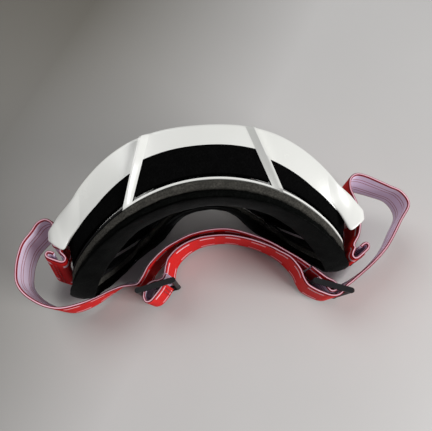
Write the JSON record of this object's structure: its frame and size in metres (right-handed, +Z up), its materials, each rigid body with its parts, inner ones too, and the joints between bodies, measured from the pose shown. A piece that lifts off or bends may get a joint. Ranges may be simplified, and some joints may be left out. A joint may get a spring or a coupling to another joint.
{
  "type": "motocross goggles",
  "caption": "Motocross goggles with a vented white frame, curved lens, layered face foam and an adjustable webbing strap with two sliders.",
  "frame": {"origin": "on the table plane, straight below the goggles' middle line, level with the side ends of the face foam", "axes": "+Y towards the lens, +X towards the right strap loop, +Z up"},
  "size_m": [0.2616, 0.1013, 0.0992],
  "materials": {
    "frame_plastic": "gloss",
    "lens_clear": "clear",
    "post_plastic": "gloss",
    "vent_foam": "porous",
    "firm_foam": "porous",
    "soft_foam": "porous",
    "fleece": "napped",
    "webbing": "woven",
    "thread": "twisted",
    "slider_plastic": "satin"
  },
  "bodies": {
    "goggles": {"frame": "frame_plastic", "lens": "lens_clear", "tear_off_post_left": "post_plastic", "tear_off_post_right": "post_plastic", "vent_foam_top_center": "vent_foam", "vent_foam_top_left": "vent_foam", "vent_foam_top_right": "vent_foam", "vent_foam_bottom_left": "vent_foam", "vent_foam_bottom_right": "vent_foam", "face_foam_firm": "firm_foam", "face_foam_soft": "soft_foam", "face_fleece": "fleece", "left_strap": "webbing", "right_strap": "webbing", "left_stop_stitching": "thread", "right_stop_stitching": "thread", "left_strap_end": "webbing", "right_end_stitching": "thread"},
    "left_loop": {"right_strap_end": "webbing", "left_end_stitching": "thread"},
    "left_slider": {"left_slider": "slider_plastic"},
    "right_slider": {"right_slider": "slider_plastic"}
  },
  "joints": [
    {"name": "left_slider_travel", "type": "slide", "parent": "goggles", "child": "left_loop", "axis": [-0.947, -0.3212, 0], "range_m": [0, 0.025]},
    {"name": "left_slider_tilt", "type": "hinge", "parent": "left_loop", "child": "left_slider", "pos_m": [-0.036, -0.0087, 0.024], "axis": [0, 0, 1], "range_deg": [-6, 8]},
    {"name": "right_slider_tilt", "type": "hinge", "parent": "goggles", "child": "right_slider", "pos_m": [0.0788, -0.0168, 0.024], "axis": [0, 0, 1], "range_deg": [-5, 5]}
  ]
}
